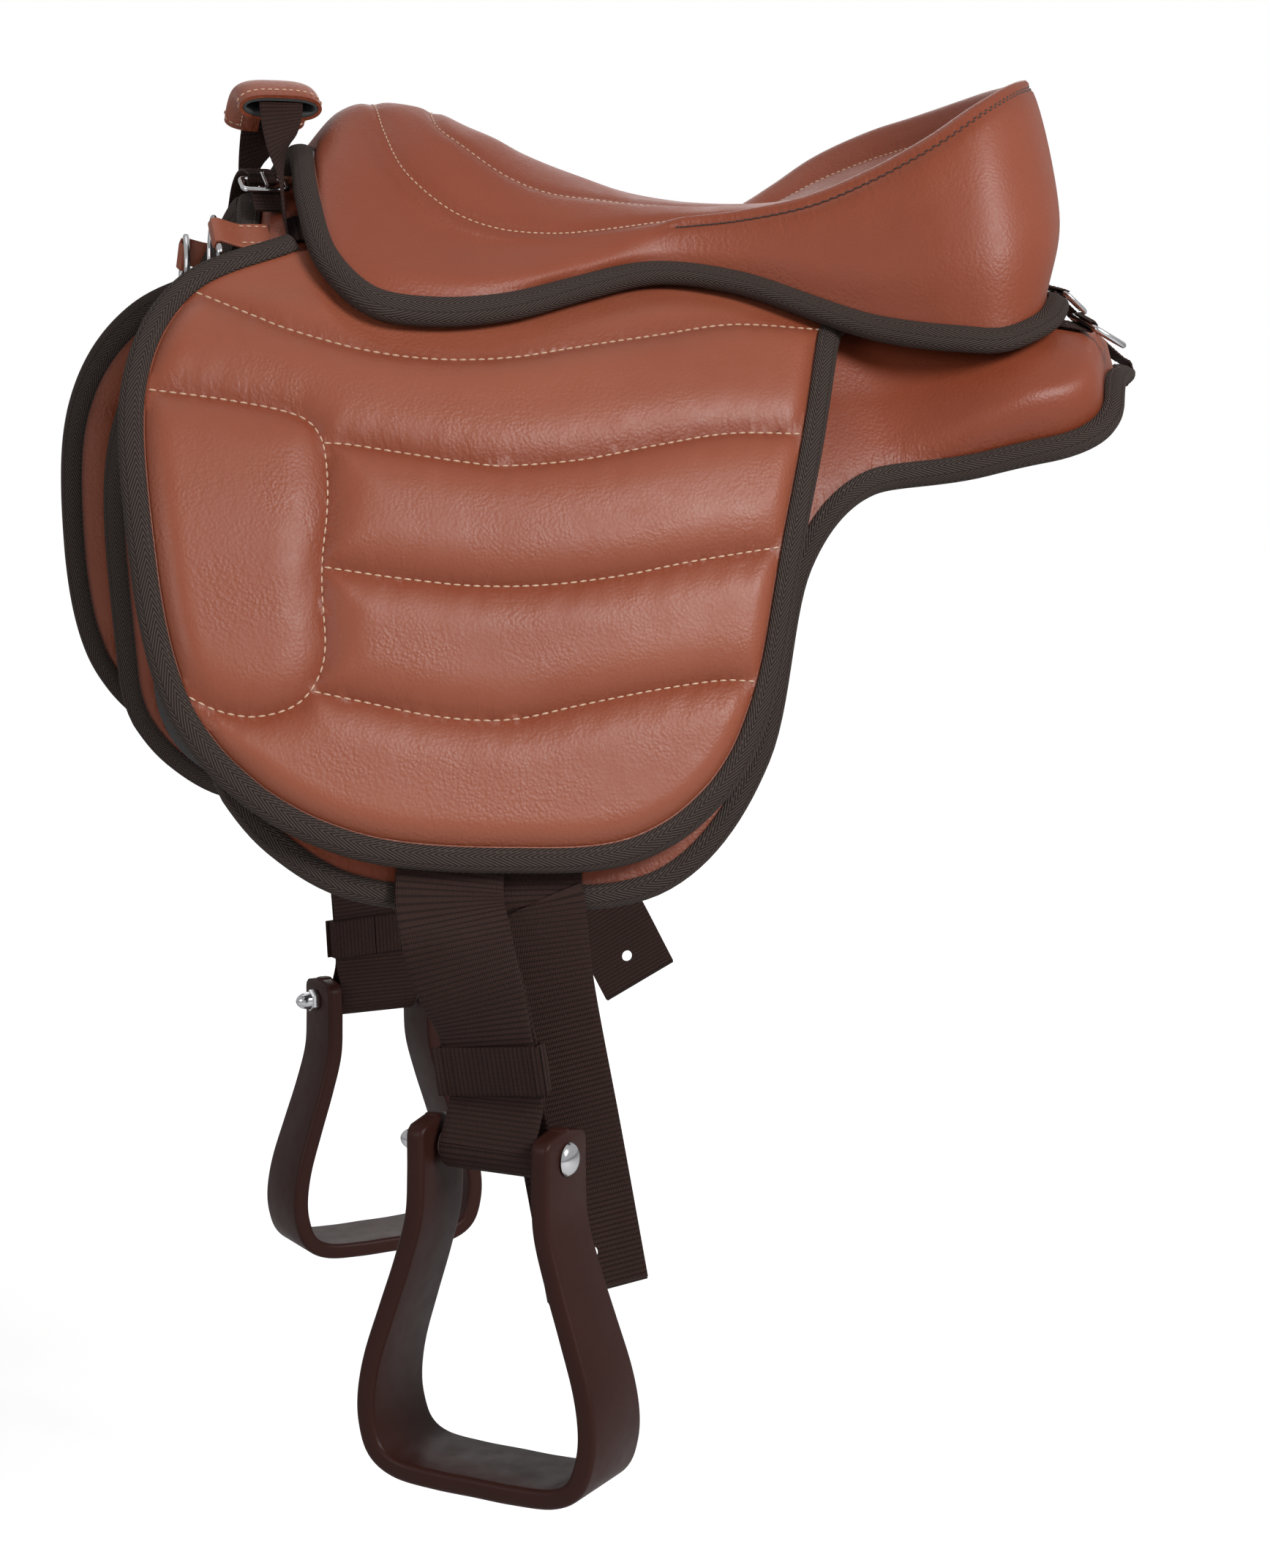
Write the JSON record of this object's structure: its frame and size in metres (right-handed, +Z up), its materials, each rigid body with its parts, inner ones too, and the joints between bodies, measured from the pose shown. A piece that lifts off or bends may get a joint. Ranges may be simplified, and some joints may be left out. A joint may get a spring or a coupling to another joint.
{
  "type": "treeless riding saddle",
  "caption": "Treeless riding saddle: quilted leather flaps, padded seat with raised cantle, pommel hand strap, girth billets and stirrups hung on leathers; it lies on a horse's back.",
  "frame": {"origin": "on the horse's back at the ridge of the spine, under the middle of the saddle", "axes": "+Z up, +X from the pommel to the cantle, -Y the horse's left side"},
  "size_m": [0.5824, 0.5536, 0.6905],
  "materials": {
    "leather": "pebbled tan leather, soft sheen",
    "tape": "woven dark brown edge tape",
    "webbing": "ribbed dark brown webbing",
    "felt": "dark felt",
    "foam": "plain cushion foam",
    "lining": "black lining cloth",
    "moulding": "red-brown moulded nylon, half gloss",
    "chrome": "plated steel"
  },
  "bodies": {
    "saddle": {"base_binding_left": "tape", "base_binding_right": "tape", "base_pad_left": "leather", "base_pad_right": "leather", "cantle_cover": "leather", "flap_top_binding_front_left": "tape", "flap_top_binding_front_right": "tape", "flap_top_binding_rear_left": "tape", "flap_top_binding_rear_right": "tape", "flap_top_left": "leather", "flap_top_right": "leather", "front_buckle_frame": "chrome", "front_ring_tab_left": "leather", "front_ring_tab_right": "leather", "front_strap_lower": "webbing", "front_strap_upper": "webbing", "handle_grip": "leather", "handle_lining": "lining", "handle_strap": "webbing", "rear_buckle_frame": "chrome", "rear_ring_tab_left": "webbing", "rear_ring_tab_right": "webbing", "rear_strap_lower": "webbing", "rear_strap_upper": "webbing", "seat_binding": "tape", "seat_cover": "leather", "seat_foam": "foam", "seat_underside": "felt", "spine_strip": "leather", "stirrup_hanger_left": "webbing", "stirrup_hanger_right": "webbing", "under_panel_left": "felt", "under_panel_right": "felt"},
    "flap_left": {"flap_left": "leather", "flap_binding_left": "tape"},
    "leather_left": {"stirrup_ring_left": "chrome", "stirrup_leather_left": "webbing", "sleeve_left": "chrome"},
    "keeper_left": {"keeper_left": "webbing"},
    "stirrup_left": {"stirrup_left": "moulding", "bolt_left": "chrome", "cap_nut_left": "chrome"},
    "billet_left": {"girth_billet_left": "webbing"},
    "front_ring_left": {"front_ring_left": "chrome"},
    "rear_ring_left": {"rear_ring_left": "chrome"},
    "flap_right": {"flap_right": "leather", "flap_binding_right": "tape"},
    "leather_right": {"stirrup_ring_right": "chrome", "stirrup_leather_right": "webbing", "sleeve_right": "chrome"},
    "keeper_right": {"keeper_right": "webbing"},
    "stirrup_right": {"stirrup_right": "moulding", "bolt_right": "chrome", "cap_nut_right": "chrome"},
    "billet_right": {"girth_billet_right": "webbing"},
    "front_ring_right": {"front_ring_right": "chrome"},
    "rear_ring_right": {"rear_ring_right": "chrome"},
    "front_tongue": {"front_buckle_tongue": "chrome"},
    "rear_tongue": {"rear_buckle_tongue": "chrome"}
  },
  "joints": [
    {"name": "flap_lift_left", "type": "hinge", "parent": "saddle", "child": "flap_left", "pos_m": [0, -0.15045, -0.05209], "axis": [-1, 0, 0], "range_deg": [0, 65]},
    {"name": "flap_lift_right", "type": "hinge", "parent": "saddle", "child": "flap_right", "pos_m": [0, 0.15045, -0.05209], "axis": [1, 0, 0], "range_deg": [0, 65]},
    {"name": "leather_swing_left", "type": "hinge", "parent": "saddle", "child": "leather_left", "pos_m": [-0.11527, -0.1792, -0.13863], "axis": [0, -0.9703, 0.2419], "range_deg": [-15, 0]},
    {"name": "leather_swing_right", "type": "hinge", "parent": "saddle", "child": "leather_right", "pos_m": [-0.11828, 0.17914, -0.13839], "axis": [0, 0.9703, 0.2419], "range_deg": [-10, 10]},
    {"name": "stirrup_swing_left", "type": "hinge", "parent": "leather_left", "child": "stirrup_left", "pos_m": [-0.132, -0.228, -0.41395], "axis": [0.7193, -0.6947, -0.0011], "range_deg": [-40, 10]},
    {"name": "stirrup_swing_right", "type": "hinge", "parent": "leather_right", "child": "stirrup_right", "pos_m": [-0.104, 0.228, -0.42595], "axis": [0.9703, 0.2419, -0.0005], "range_deg": [-40, 40]},
    {"name": "keeper_slide_left", "type": "slide", "parent": "leather_left", "child": "keeper_left", "axis": [0.1471, 0.0029, -0.9891], "range_m": [-0.005, 0.005]},
    {"name": "keeper_slide_right", "type": "slide", "parent": "leather_right", "child": "keeper_right", "axis": [0.0478, -0.002, -0.9989], "range_m": [-0.005, 0.005]},
    {"name": "billet_swing_left", "type": "hinge", "parent": "saddle", "child": "billet_left", "pos_m": [-0.105, -0.1844, -0.17521], "axis": [0, -0.9703, 0.2419], "range_deg": [0, 15]},
    {"name": "billet_swing_right", "type": "hinge", "parent": "saddle", "child": "billet_right", "pos_m": [-0.105, 0.1844, -0.17521], "axis": [0, 0.9703, 0.2419], "range_deg": [-10, 10]},
    {"name": "front_ring_lift_left", "type": "hinge", "parent": "saddle", "child": "front_ring_left", "pos_m": [-0.2325, -0.0676, 0.01292], "axis": [0, 0.7886, 0.6149], "range_deg": [0, 120]},
    {"name": "front_ring_lift_right", "type": "hinge", "parent": "saddle", "child": "front_ring_right", "pos_m": [-0.2325, 0.0676, 0.01292], "axis": [0, 0.7886, -0.6149], "range_deg": [0, 120]},
    {"name": "rear_ring_lift_left", "type": "hinge", "parent": "saddle", "child": "rear_ring_left", "pos_m": [0.207, -0.12046, -0.02628], "axis": [0, -0.9624, -0.2715], "range_deg": [0, 120]},
    {"name": "rear_ring_lift_right", "type": "hinge", "parent": "saddle", "child": "rear_ring_right", "pos_m": [0.207, 0.12046, -0.02628], "axis": [0, -0.9624, 0.2715], "range_deg": [0, 120]},
    {"name": "front_tongue_lift", "type": "hinge", "parent": "saddle", "child": "front_tongue", "pos_m": [-0.205, -0.03412, 0.04316], "axis": [-1, 0, 0], "range_deg": [0, 60]},
    {"name": "rear_tongue_lift", "type": "hinge", "parent": "saddle", "child": "rear_tongue", "pos_m": [0.247, 0, -0.004], "axis": [0, -1, 0], "range_deg": [0, 60]}
  ]
}
